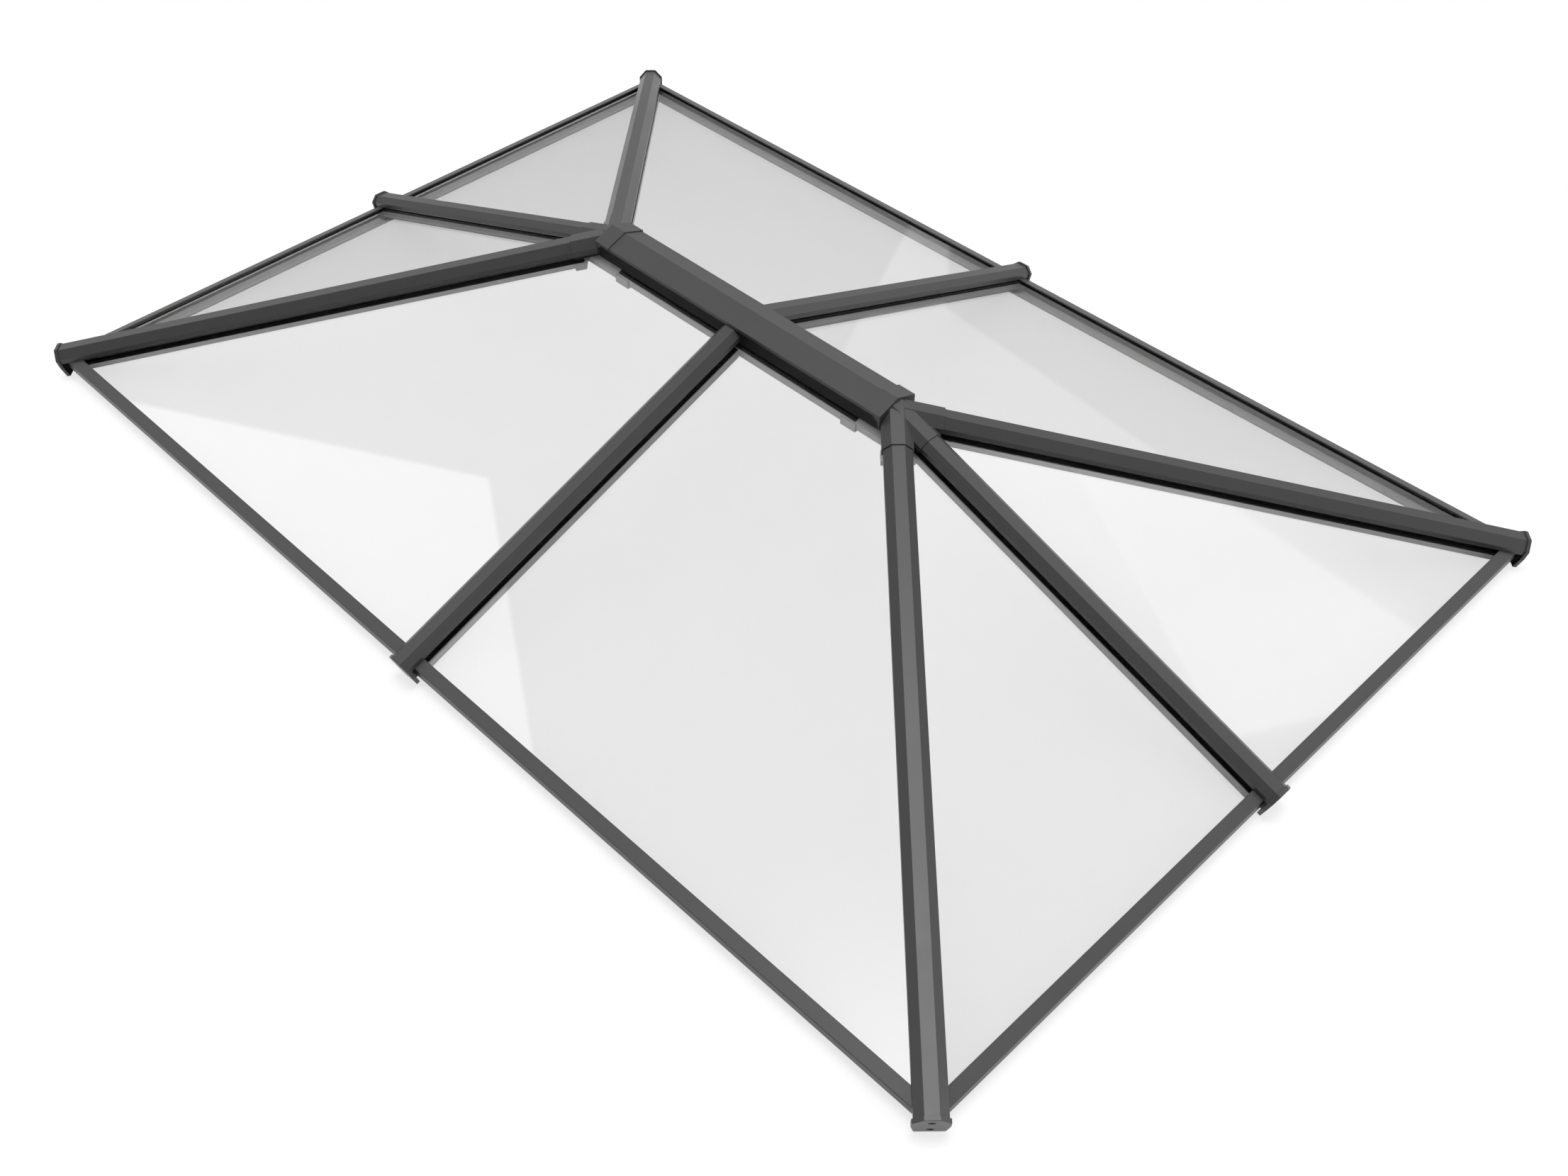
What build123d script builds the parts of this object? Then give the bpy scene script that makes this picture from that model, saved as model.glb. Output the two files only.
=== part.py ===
from build123d import *
import math
import os

os.makedirs("parts", exist_ok=True)

# Hipped roof lantern. X runs along the ridge, Y across it, Z up. Z = 0 is the kerb it sits on.

# overall form, measured over the top outer edges of the glass retainers
length = 3090
width = 2090
pitch = 20
hub_run = 1071  # plan distance from an end retainer to the point where the hips meet
fold_height = 54  # top outer edge of the retainers above the kerb

# glazing: levels below the plane of the retainers' top faces
retainer_wall = 3
retainer_tape = 3
glass_thickness = 24
bed_tape = 2
glass_edge = 6  # outer glass edge inside the retainer's face
glass_gap = 10  # glass edge to a rafter's centre line
hip_glass_gap = 16
ridge_glass_gap = 28

# glass retainers along the eaves
retainer_width = 29.5
retainer_drop = 18
retainer_bend = 2

# eaves beams
beam_setback = 18
beam_width = 14
beam_flange = 13
beam_wall = 2.5
flange_thickness = 5

# inner rafters
rafter_half = 28
rafter_depth = 20
rafter_wall = 2.5
nose_half = 4
seal_leg = 3

# rafter caps and hip caps: half octagons
cap_wall = 2.5
cap_nib = 2.5
cap_nib_height = 2.5
rafter_cap_top = 14
rafter_cap_half = 30
rafter_cap_height = 26
rafter_cap_shoulder = 14.4
hip_cap_top = 14
hip_cap_half = 32.5
hip_cap_height = 24.6
hip_cap_shoulder = 20
bar_thickness = 4
seal_thickness = 3
seal_setback = 1

# end caps on the rafters' feet
end_wall = 3
end_depth = 9
end_lower = 50  # foot of the end cap below the retainers' plane
end_waist = 18
end_taper = 6.5
rafter_end_reach = 19  # front of the end cap outside the retainer's edge
hip_end_reach = -2
screw_hole = 7
screw_recess = 14
screw_high = 9
screw_low = 33
end_corner = 2.5
end_bevel = 0.6

# ridge
ridge_half = 54.5
ridge_apex = 37.3
ridge_lip = 8
ridge_wall = 3
ridge_beam_half = 50
ridge_beam_drop = 70
ridge_post_half = 12
ridge_seal_wall = 6
ridge_seal_setback = 3.5

# hub cover and ridge-end hood
hub_reach = 107
hub_socket = 15
hub_wall = 2.5
hub_block_reach = 72
hub_arm_reach = 112  # the inner sockets around the rafters
hub_arm_wall = 5
hub_seal_setback = 0.5
hood_length = 48
hood_overlap = 4  # end of the hood past the hub's centre
hood_wall = 2.5
hood_lip = 5
hood_side = 37.5  # depth of the tongue at the hood's end

# fits
fit_gap = 0.4
joint_gap = 0.3
seat_gap = 0.05

# fixing holes through the eaves flanges
fixing_hole = 6.5
side_fixings = (300, 750, 1200)
end_fixings = (350, 750)

half_l = length / 2
half_w = width / 2
rise = half_w * math.tan(math.radians(pitch))
hub_x = half_l - hub_run
hood_end = hub_x + hood_overlap
hood_start = hood_end - hood_length
end_pitch = math.degrees(math.atan2(rise, hub_run))
ridge_z = fold_height + rise
glass_level = retainer_wall + retainer_tape
glass_under = glass_level + glass_thickness
bed_level = glass_under + bed_tape
body_foot = bed_level + rafter_depth

hip_foot = Vector(half_l, -half_w, fold_height)
hub_point = Vector(hub_x, 0, ridge_z)
end_foot = Vector(half_l, 0, fold_height)
side_foot = Vector(0, -half_w, fold_height)
side_head = Vector(0, 0, ridge_z)
side_normal = Vector(0, -math.sin(math.radians(pitch)), math.cos(math.radians(pitch)))
end_normal = Vector(math.sin(math.radians(end_pitch)), 0, math.cos(math.radians(end_pitch)))
hub_normals = (side_normal, Vector(0, -side_normal.Y, side_normal.Z), end_normal)


def run_of(foot, head):
    return (head - foot).normalized()


def section_plane(foot, head, start):
    """Plane across a rafter: X to its side, Y square to the glass, Z up the rafter."""
    run = run_of(foot, head)
    across = Vector(0, 0, 1).cross(run).normalized()
    return Plane(origin=foot + run * start, x_dir=across, z_dir=run)


hip_plane = section_plane(hip_foot, hub_point, 0)
hip_length = (hub_point - hip_foot).length
end_length = (hub_point - end_foot).length
side_length = (side_head - side_foot).length


def hip_level(x, depth):
    """Height, on the hip's section, of the plane that lies a depth below the retainers' plane."""
    normal = side_normal if x >= 0 else end_normal
    return (-depth - x * normal.dot(hip_plane.x_dir)) / normal.dot(hip_plane.y_dir)


def flat_level(x, depth):
    return -depth


def outline(points, mode=Mode.ADD):
    Polygon(*points, align=None, mode=mode)


def cap_points(half, top_half, height, shoulder, grow, foot):
    """Half octagon, grown outwards by one amount all round, with its feet at a level."""
    slope = math.atan2(shoulder, half - top_half)
    side = half + grow
    crown = height + grow
    edge = top_half + grow * math.tan(slope / 2)
    knee = height - shoulder + grow * math.tan((math.pi / 2 - slope) / 2)
    left = [(-side, foot(-side)), (-side, knee), (-edge, crown)]
    return left + [(edge, crown), (side, knee), (side, foot(side))]


def rafter_cap_points(grow, foot):
    return cap_points(rafter_cap_half, rafter_cap_top, rafter_cap_height, rafter_cap_shoulder, grow, foot)


def hip_cap_points(grow, foot):
    return cap_points(hip_cap_half, hip_cap_top, hip_cap_height, hip_cap_shoulder, grow, foot)


def cap_section(points_of, half, level):
    """Folded cap: a thin half octagon with nibs that clip on the pressure bar."""
    outer_line = points_of(0, lambda x: level(x, -fit_gap))
    inner_line = points_of(-cap_wall, lambda x: level(x, -fit_gap))
    outline(outer_line + inner_line[::-1])
    for side in (-1, 1):
        outer = side * (half - cap_wall)
        inside = side * (half - cap_wall - cap_nib)
        outline(
            [
                (outer, level(outer, -fit_gap)),
                (inside, level(inside, -fit_gap)),
                (inside, level(inside, -fit_gap - cap_nib_height)),
                (outer, level(outer, -fit_gap - cap_nib_height)),
            ],
        )


def bed_points(half, level, foot):
    """A bar's outline: upright sides, and a top that follows the glass on both sides."""
    tops = [(x, level(x, bed_level)) for x in (half, 0, -half)]
    return [(-half, -foot), (half, -foot)] + tops


def body_section(half, level, foot):
    """Inner rafter: a hollow bar under the glass with a nose between the panes."""
    outline(bed_points(half, level, foot))
    outline(
        [
            (-nose_half, -foot + rafter_wall * 2),
            (nose_half, -foot + rafter_wall * 2),
            (nose_half, level(0, glass_level)),
            (-nose_half, level(0, glass_level)),
        ],
    )
    room = half - rafter_wall
    low = -foot + rafter_wall
    for side in (-1, 1):
        near = side * (nose_half + rafter_wall)
        far = side * room
        outline(
            [
                (near, low),
                (far, low),
                (far, level(far, bed_level + rafter_wall)),
                (near, level(near, bed_level + rafter_wall)),
            ],
            Mode.SUBTRACT,
        )


def seal_section(half, level):
    """Black glazing seal: wings on the glass and two legs beside the nose."""
    stem = nose_half + seal_leg
    wing = half - seal_setback
    deep = level(0, glass_under - bed_tape)
    outline(
        [
            (-wing, level(-wing, glass_level)),
            (-stem, level(-stem, glass_level)),
            (-stem, deep),
            (stem, deep),
            (stem, level(stem, glass_level)),
            (wing, level(wing, glass_level)),
            (wing, level(wing, glass_level - seal_thickness)),
            (0, level(0, glass_level - seal_thickness)),
            (-wing, level(-wing, glass_level - seal_thickness)),
        ]
    )
    root = level(0, glass_level)
    slot = [(-nose_half, deep - 1), (nose_half, deep - 1), (nose_half, root), (-nose_half, root)]
    outline(slot, Mode.SUBTRACT)


def bar_section(half, level):
    """Flat bar that the cap clips on, pressed on the seal."""
    low = glass_level - seal_thickness - seat_gap
    high = low - bar_thickness
    outline(
        [
            (-half, level(-half, low)),
            (0, level(0, low)),
            (half, level(half, low)),
            (half, level(half, high)),
            (0, level(0, high)),
            (-half, level(-half, high)),
        ]
    )


rafter_bar_half = rafter_cap_half - cap_wall - cap_nib
hip_bar_half = hip_cap_half - cap_wall - cap_nib


def corner_points(half, points_of, grow):
    """Outline of an end cap: the cap's half octagon above, straight then tapering sides below."""
    top = points_of(grow, lambda x: -end_waist)
    side = half + grow
    drop = -end_lower + (end_wall + fit_gap - grow)
    return [(-side + end_taper, drop)] + top + [(side - end_taper, drop)]


def at_hub(direction, reach):
    """Upright plane at a distance from the hub's centre, facing along a plan direction."""
    unit = Vector(direction.X, direction.Y, 0).normalized()
    return Plane(origin=hub_point + unit * reach, z_dir=unit)


def mirrored(piece, in_x, in_y):
    shape = piece
    if in_x:
        shape = mirror(shape, about=Plane.YZ)
    if in_y:
        shape = mirror(shape, about=Plane.XZ)
    return shape


def save(shape, name):
    shape.label = name
    export_step(shape, f"parts/{name}.step")


# Eaves beams: hollow bars with a fixing flange, mitred at the corners.
def beam_profile(tilt):
    def top(u):
        return fold_height + u * math.tan(math.radians(tilt)) - bed_level / math.cos(math.radians(tilt))

    inner = beam_setback + beam_width
    lip = inner + beam_flange
    outline(
        [
            (beam_setback, 0),
            (lip, 0),
            (lip, flange_thickness),
            (inner, flange_thickness),
            (inner, top(inner)),
            (beam_setback, top(beam_setback)),
        ]
    )
    low = beam_setback + beam_wall
    high = inner - beam_wall
    ceiling = [(high, top(high) - beam_wall), (low, top(low) - beam_wall)]
    outline([(low, beam_wall), (high, beam_wall)] + ceiling, Mode.SUBTRACT)


flange_centre = beam_setback + beam_width + beam_flange / 2 + 1

with BuildPart() as eaves_beam_front:
    with BuildSketch(Plane(origin=(-half_l, -half_w, 0), x_dir=(0, 1, 0), z_dir=(1, 0, 0))):
        beam_profile(pitch)
    extrude(amount=length)
    split(bisect_by=Plane(origin=(half_l, -half_w, 0), z_dir=(1, 1, 0)), keep=Keep.BOTTOM)
    split(bisect_by=Plane(origin=(-half_l, -half_w, 0), z_dir=(-1, 1, 0)), keep=Keep.BOTTOM)
    with BuildSketch(Plane.XY):
        with Locations(*[(s * x, -half_w + flange_centre) for x in side_fixings for s in (-1, 1)]):
            Circle(fixing_hole / 2)
    extrude(amount=flange_thickness, mode=Mode.SUBTRACT)

with BuildPart() as eaves_beam_right:
    with BuildSketch(Plane(origin=(half_l, -half_w, 0), x_dir=(-1, 0, 0), z_dir=(0, 1, 0))):
        beam_profile(end_pitch)
    extrude(amount=width)
    split(bisect_by=Plane(origin=(half_l, -half_w, 0), z_dir=(-1, -1, 0)), keep=Keep.BOTTOM)
    split(bisect_by=Plane(origin=(half_l, half_w, 0), z_dir=(-1, 1, 0)), keep=Keep.BOTTOM)
    with BuildSketch(Plane.XY):
        with Locations(*[(half_l - flange_centre, s * y) for y in end_fixings for s in (-1, 1)]):
            Circle(fixing_hole / 2)
    extrude(amount=flange_thickness, mode=Mode.SUBTRACT)

save(eaves_beam_front.part, "eaves_beam_front")
save(mirrored(eaves_beam_front.part, False, True), "eaves_beam_back")
save(eaves_beam_right.part, "eaves_beam_right")
save(mirrored(eaves_beam_right.part, True, False), "eaves_beam_left")

# Inner rafters, cut upright where they meet the eaves beams, the ridge beam and the hub blocks.
beam_inside = beam_setback + beam_width + joint_gap
side_cut = Plane(origin=(0, -half_w + beam_inside, 0), z_dir=(0, 1, 0))
end_cut = Plane(origin=(half_l - beam_inside, 0, 0), z_dir=(-1, 0, 0))
hip_run = run_of(hip_foot, hub_point)

with BuildPart() as rafter_front:
    with BuildSketch(section_plane(side_foot, side_head, 0)):
        body_section(rafter_half, flat_level, body_foot)
    extrude(amount=side_length)
    split(bisect_by=side_cut, keep=Keep.TOP)
    split(bisect_by=Plane(origin=(0, -ridge_beam_half - joint_gap, 0), z_dir=(0, 1, 0)), keep=Keep.BOTTOM)

with BuildPart() as rafter_right:
    with BuildSketch(section_plane(end_foot, hub_point, 0)):
        body_section(rafter_half, flat_level, body_foot)
    extrude(amount=end_length)
    split(bisect_by=end_cut, keep=Keep.TOP)
    split(bisect_by=at_hub(Vector(1, 0, 0), hub_block_reach + joint_gap), keep=Keep.TOP)

with BuildPart() as hip_rafter_front_right:
    with BuildSketch(hip_plane):
        body_section(rafter_half, hip_level, body_foot)
    extrude(amount=hip_length)
    split(bisect_by=side_cut, keep=Keep.TOP)
    split(bisect_by=end_cut, keep=Keep.TOP)
    split(bisect_by=at_hub(hip_run * -1, hub_block_reach + joint_gap), keep=Keep.TOP)

save(rafter_front.part, "rafter_front")
save(mirrored(rafter_front.part, False, True), "rafter_back")
save(rafter_right.part, "rafter_right")
save(mirrored(rafter_right.part, True, False), "rafter_left")
corners = {
    "front_right": (False, False),
    "front_left": (True, False),
    "back_right": (False, True),
    "back_left": (True, True),
}
for place, (in_x, in_y) in corners.items():
    save(mirrored(hip_rafter_front_right.part, in_x, in_y), f"hip_rafter_{place}")

# Ridge beam with the post that carries the ridge cap.
ridge_slope = math.tan(math.radians(pitch))
ridge_under = ridge_apex - ridge_wall / math.cos(math.radians(pitch))


def ridge_level(y, depth):
    return -abs(y) * ridge_slope - depth / math.cos(math.radians(pitch))


ridge_plane = Plane(origin=(0, 0, ridge_z), x_dir=(0, 1, 0), z_dir=(1, 0, 0))
beam_reach = hub_x - hub_block_reach - joint_gap
with BuildPart() as ridge_beam:
    with BuildSketch(ridge_plane):
        b = ridge_beam_half
        p = ridge_post_half
        outline(
            [
                (-b, -ridge_beam_drop),
                (b, -ridge_beam_drop),
                (b, ridge_level(b, bed_level)),
                (p, ridge_level(p, bed_level)),
                (p, ridge_under - p * ridge_slope),
                (0, ridge_under),
                (-p, ridge_under - p * ridge_slope),
                (-p, ridge_level(p, bed_level)),
                (-b, ridge_level(b, bed_level)),
            ]
        )
        w = rafter_wall
        outer = b - w
        outline(
            [
                (-outer, -ridge_beam_drop + w),
                (outer, -ridge_beam_drop + w),
                (outer, ridge_level(outer, bed_level + w)),
                (0, ridge_level(0, bed_level + w)),
                (-outer, ridge_level(outer, bed_level + w)),
            ],
            Mode.SUBTRACT,
        )
    extrude(amount=beam_reach, both=True)
save(ridge_beam.part, "ridge_beam")

# Hub blocks: the inner castings, with a socket for each hip, the end rafter and the ridge beam.
def hub_bar(foot, head, level, grow, far, near):
    """A rafter as a plain bar, grown outwards, between two distances from the hub."""
    run = run_of(foot, head)
    with BuildPart() as bar:
        with BuildSketch(section_plane(foot, head, (head - foot).length - far)):
            outline(bed_points(rafter_half + grow, level, body_foot + grow))
        extrude(amount=far)
        split(bisect_by=at_hub(run * -1, near), keep=Keep.TOP)
    return bar.part


def hub_bars(grow, far, near):
    """The two hips, the end rafter and the ridge beam as plain bars, grown outwards."""
    hip = hub_bar(hip_foot, hub_point, hip_level, grow, far, near)
    side = ridge_beam_half + grow
    with BuildPart() as bars:
        add(hip)
        add(mirrored(hip, False, True))
        add(hub_bar(end_foot, hub_point, flat_level, grow, far, near))
        with BuildSketch(Plane(origin=(hub_x - far, 0, ridge_z), x_dir=(0, 1, 0), z_dir=(1, 0, 0))):
            low = -ridge_beam_drop - grow
            top = ridge_level(side, bed_level)
            outline([(-side, low), (side, low), (side, top), (-side, top)])
        extrude(amount=far - near)
    return bars.part


hub_sides = [Vector(-1, 0, 0), Vector(1, 0, 0), hip_run * -1, Vector(-hip_run.X, hip_run.Y, 0)]
with BuildPart() as hub_block_right:
    with BuildSketch(Plane(origin=(hub_x, 0, ridge_z - ridge_beam_drop))):
        Rectangle(4 * hub_block_reach, 2 * ridge_beam_half)
    extrude(amount=ridge_beam_drop)
    for direction in hub_sides:
        split(bisect_by=at_hub(direction, hub_block_reach), keep=Keep.BOTTOM)
    for normal in hub_normals:
        split(bisect_by=Plane(origin=hub_point - normal * bed_level, z_dir=normal), keep=Keep.BOTTOM)
    add(hub_bars(hub_arm_wall, hub_arm_reach, hub_block_reach - hub_arm_wall))
    add(hub_bars(joint_gap, hub_arm_reach + 1, hub_block_reach), mode=Mode.SUBTRACT)
save(hub_block_right.part, "hub_block_right")
save(mirrored(hub_block_right.part, True, False), "hub_block_left")


# Glass units: each plane's outline, set in from the lines it meets, then given its thickness.
def pane_outline(corners_in, insets):
    """Corner points of a polygon whose sides are moved inwards, each by its own distance."""
    count = len(corners_in)
    lines = []
    for i in range(count):
        (x0, y0), (x1, y1) = corners_in[i], corners_in[(i + 1) % count]
        size = math.hypot(x1 - x0, y1 - y0)
        across = (-(y1 - y0) / size, (x1 - x0) / size)
        lines.append((x0 + across[0] * insets[i], y0 + across[1] * insets[i], x1 - x0, y1 - y0))
    points = []
    for i in range(count):
        ax, ay, ux, uy = lines[i - 1]
        bx, by, vx, vy = lines[i]
        share = ((bx - ax) * vy - (by - ay) * vx) / (ux * vy - uy * vx)
        points.append((ax + ux * share, ay + uy * share))
    return points


side_slope = half_w / math.cos(math.radians(pitch))
end_slope = hub_run / math.cos(math.radians(end_pitch))
side_plane = Plane(origin=side_foot, x_dir=(1, 0, 0), z_dir=side_normal)
end_plane = Plane(origin=end_foot, x_dir=(0, 1, 0), z_dir=end_normal)
edge_inset = glass_edge / math.cos(math.radians(pitch)) + 1

with BuildPart() as glass_front_right:
    with BuildSketch(side_plane.offset(-glass_level)):
        shape = [(0, 0), (half_l, 0), (hub_x, side_slope), (0, side_slope)]
        outline(pane_outline(shape, [edge_inset, hip_glass_gap, ridge_glass_gap, glass_gap]))
    extrude(amount=-glass_thickness)

with BuildPart() as glass_right_front:
    with BuildSketch(end_plane.offset(-glass_level)):
        shape = [(-half_w, 0), (0, 0), (0, end_slope)]
        outline(pane_outline(shape, [edge_inset, glass_gap, hip_glass_gap]))
    extrude(amount=-glass_thickness)

for place, (in_x, in_y) in corners.items():
    save(mirrored(glass_front_right.part, in_x, in_y), f"glass_{place}")
    side, end = place.split("_")
    save(mirrored(glass_right_front.part, in_x, in_y), f"glass_{end}_{side}")


# Glass retainers: a flat wing on the glass and a leg down its edge, parted at the rafters.
def retainer_profile(tilt):
    lean = math.radians(tilt)
    wing = (retainer_width * math.cos(lean), retainer_width * math.sin(lean))
    under = (wing[0] + retainer_wall * math.sin(lean), wing[1] - retainer_wall * math.cos(lean))
    knee = (retainer_wall, retainer_wall * math.tan(lean) - retainer_wall / math.cos(lean))
    outline([(0, 0), wing, under, knee, (retainer_wall, -retainer_drop), (0, -retainer_drop)])


rafter_clear = rafter_bar_half + 1
hip_clear = hip_bar_half + 1
hip_side = Vector(hip_plane.x_dir.X, hip_plane.x_dir.Y, 0)
with BuildPart() as retainer_front:
    with BuildSketch(Plane(origin=(rafter_clear, -half_w, fold_height), x_dir=(0, 1, 0), z_dir=(1, 0, 0))):
        retainer_profile(pitch)
    extrude(amount=half_l - rafter_clear)
    fillet(edges().filter_by(Axis.X).sort_by(Axis.Y)[0:2].sort_by(Axis.Z)[-1], retainer_bend)
    split(bisect_by=Plane(origin=hip_foot + hip_side * hip_clear, z_dir=hip_side), keep=Keep.TOP)
    mirror(about=Plane.YZ)

with BuildPart() as retainer_right:
    with BuildSketch(Plane(origin=(half_l, -half_w, fold_height), x_dir=(-1, 0, 0), z_dir=(0, 1, 0))):
        retainer_profile(end_pitch)
    extrude(amount=half_w - rafter_clear)
    fillet(edges().filter_by(Axis.Y).sort_by(Axis.X)[-2:].sort_by(Axis.Z)[-1], retainer_bend)
    split(bisect_by=Plane(origin=hip_foot - hip_side * hip_clear, z_dir=hip_side), keep=Keep.BOTTOM)
    mirror(about=Plane.XZ)

save(retainer_front.part, "retainer_front")
save(mirrored(retainer_front.part, False, True), "retainer_back")
save(retainer_right.part, "retainer_right")
save(mirrored(retainer_right.part, True, False), "retainer_left")

# Caps. Each runs from the back of its end cap to a socket of the hub cover or to the ridge seal.
rafter_start = -rafter_end_reach + end_wall + fit_gap
hip_start = -hip_end_reach + end_wall + fit_gap
cap_stop = hub_reach - hub_socket
seal_face = ridge_half - ridge_seal_setback
ridge_stop = Plane(origin=(0, -seal_face - joint_gap, 0), z_dir=(0, 1, 0))

with BuildPart() as rafter_cap_front:
    with BuildSketch(section_plane(side_foot, side_head, rafter_start)):
        cap_section(rafter_cap_points, rafter_cap_half, flat_level)
    extrude(amount=side_length)
    split(bisect_by=ridge_stop, keep=Keep.BOTTOM)

with BuildPart() as rafter_cap_right:
    with BuildSketch(section_plane(end_foot, hub_point, rafter_start)):
        cap_section(rafter_cap_points, rafter_cap_half, flat_level)
    extrude(amount=end_length - cap_stop - rafter_start)

with BuildPart() as hip_cap_front_right:
    with BuildSketch(section_plane(hip_foot, hub_point, hip_start)):
        cap_section(hip_cap_points, hip_cap_half, hip_level)
    extrude(amount=hip_length - cap_stop - hip_start)

save(rafter_cap_front.part, "rafter_cap_front")
save(mirrored(rafter_cap_front.part, False, True), "rafter_cap_back")
save(rafter_cap_right.part, "rafter_cap_right")
save(mirrored(rafter_cap_right.part, True, False), "rafter_cap_left")
for place, (in_x, in_y) in corners.items():
    save(mirrored(hip_cap_front_right.part, in_x, in_y), f"hip_cap_{place}")

# Pressure bars and black seals under the caps, from the end blocks to the hub.
rafter_block_length = 15
hip_block_length = 9
bar_start_rafter = rafter_start + rafter_block_length + joint_gap
bar_start_hip = hip_start + hip_block_length + joint_gap


def under_cap(make_section, stage):
    """The front, right and front-right pieces of one section, as three solids."""
    level_half = ((flat_level, rafter_bar_half), (flat_level, rafter_bar_half), (hip_level, hip_bar_half))
    lines = (
        (side_foot, side_head, bar_start_rafter),
        (end_foot, hub_point, bar_start_rafter),
        (hip_foot, hub_point, bar_start_hip),
    )
    pieces = []
    for (level, half), (foot, head, start) in zip(level_half, lines):
        with BuildPart() as piece:
            with BuildSketch(section_plane(foot, head, start)):
                make_section(half, level)
            extrude(amount=(head - foot).length - start)
            if foot is side_foot:
                split(bisect_by=ridge_stop, keep=Keep.BOTTOM)
            else:
                run = run_of(foot, head)
                split(bisect_by=at_hub(run * -1, hub_block_reach + stage), keep=Keep.TOP)
        pieces.append(piece.part)
    return pieces


def all_round(pieces):
    """Front and back, right and left, and the four hips, from the three first pieces."""
    front, right, hip = pieces
    shapes = [front, mirrored(front, False, True), right, mirrored(right, True, False)]
    shapes += [mirrored(hip, in_x, in_y) for in_x, in_y in corners.values()]
    return Compound([solid for shape in shapes for solid in shape.solids()])


save(all_round(under_cap(bar_section, 0)), "pressure_bars")
save(all_round(under_cap(seal_section, 0)), "glazing_seals")


# Bed tapes between the glass and the inner rafters, and under the retainers.
def tape_pair(half, level):
    near = nose_half + seal_leg + 4
    far = half - 1
    for side in (-1, 1):
        outline(
            [
                (side * near, level(side * near, bed_level)),
                (side * far, level(side * far, bed_level)),
                (side * far, level(side * far, glass_under)),
                (side * near, level(side * near, glass_under)),
            ],
        )


tape_lines = (
    (side_foot, side_head, flat_level),
    (end_foot, hub_point, flat_level),
    (hip_foot, hub_point, hip_level),
)
tape_solids = []
for foot, head, level in tape_lines:
    with BuildPart() as tape:
        with BuildSketch(section_plane(foot, head, 0)):
            tape_pair(rafter_half, level)
        extrude(amount=(head - foot).length)
        if foot is not end_foot:
            split(bisect_by=Plane(origin=side_cut.origin + Vector(0, 4, 0), z_dir=(0, 1, 0)), keep=Keep.TOP)
        if foot is not side_foot:
            split(bisect_by=Plane(origin=end_cut.origin - Vector(4, 0, 0), z_dir=(-1, 0, 0)), keep=Keep.TOP)
        if foot is side_foot:
            split(bisect_by=Plane(origin=(0, -ridge_beam_half - 2, 0), z_dir=(0, 1, 0)), keep=Keep.BOTTOM)
        else:
            split(bisect_by=at_hub(run_of(foot, head) * -1, hub_block_reach + 2), keep=Keep.TOP)
    tape_solids.append(tape.part)
save(all_round(tape_solids), "rafter_bed_tapes")


def edge_tapes(tilt, side, reach, plane, hip_facing):
    """Tapes along half an eaves: under the glass on the beam, and over it under the retainer."""
    lean = math.radians(tilt)
    low = (beam_setback - bed_level * math.sin(lean)) / math.cos(lean)
    rows = (
        (low + 1.5, low + beam_width - 1.5, -bed_level, -glass_under),
        (edge_inset + 2, retainer_width - 2, -glass_level, -retainer_wall),
    )
    with BuildPart() as tapes:
        for near, far, bottom, top in rows:
            with BuildSketch(plane.offset(bottom)):
                with Locations((side * (rafter_clear + reach) / 2, (near + far) / 2)):
                    Rectangle(reach - rafter_clear, far - near)
            extrude(amount=top - bottom)
        split(bisect_by=Plane(origin=hip_foot + hip_facing * hip_clear, z_dir=hip_facing), keep=Keep.TOP)
    return tapes.part


front_tapes = edge_tapes(pitch, 1, half_l, side_plane, hip_side)
right_tapes = edge_tapes(end_pitch, -1, half_w, end_plane, hip_side * -1)
edge_solids = []
for in_x, in_y in corners.values():
    for piece in (front_tapes, right_tapes):
        edge_solids += mirrored(piece, in_x, in_y).solids()
with BuildPart() as ridge_tapes:
    with BuildSketch(ridge_plane):
        for side in (-1, 1):
            near = side * (ridge_post_half + 8)
            far = side * (ridge_beam_half - 2)
            outline(
                [
                    (near, ridge_level(near, bed_level)),
                    (far, ridge_level(far, bed_level)),
                    (far, ridge_level(far, glass_under)),
                    (near, ridge_level(near, glass_under)),
                ],
            )
    extrude(amount=beam_reach, both=True)
edge_solids += ridge_tapes.part.solids()
save(Compound(edge_solids), "edge_tapes")

# Ridge cap: a folded gable with short lips, on black seal walls that stand on the glass.
ridge_stop_x = hub_x - 3


def ridge_points(grow, drop):
    """Gable outline grown outwards by one amount, with its sides taken down by a drop."""
    side = ridge_half + grow
    crown = ridge_apex + grow / math.cos(math.radians(pitch))
    fold = crown - side * ridge_slope
    return [(-side, fold - drop), (-side, fold), (0, crown), (side, fold), (side, fold - drop)]


with BuildPart() as ridge_cap:
    with BuildSketch(ridge_plane):
        outline(ridge_points(0, ridge_lip))
        outline(ridge_points(-ridge_wall, 3 * ridge_lip), Mode.SUBTRACT)
    extrude(amount=ridge_stop_x, both=True)
save(ridge_cap.part, "ridge_cap")

with BuildPart() as ridge_seals:
    with BuildSketch(ridge_plane):
        for side in (-1, 1):
            near = side * (seal_face - ridge_seal_wall)
            far = side * seal_face
            outline(
                [
                    (near, ridge_level(near, glass_level)),
                    (far, ridge_level(far, glass_level)),
                    (far, ridge_under - abs(far) * ridge_slope),
                    (near, ridge_under - abs(near) * ridge_slope),
                ],
            )
    extrude(amount=ridge_stop_x, both=True)
save(ridge_seals.part, "ridge_seals")


# Hub cover: three sockets in one shell, two for the hip caps and one for the end rafter's cap.
deep = 2 * glass_under


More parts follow.
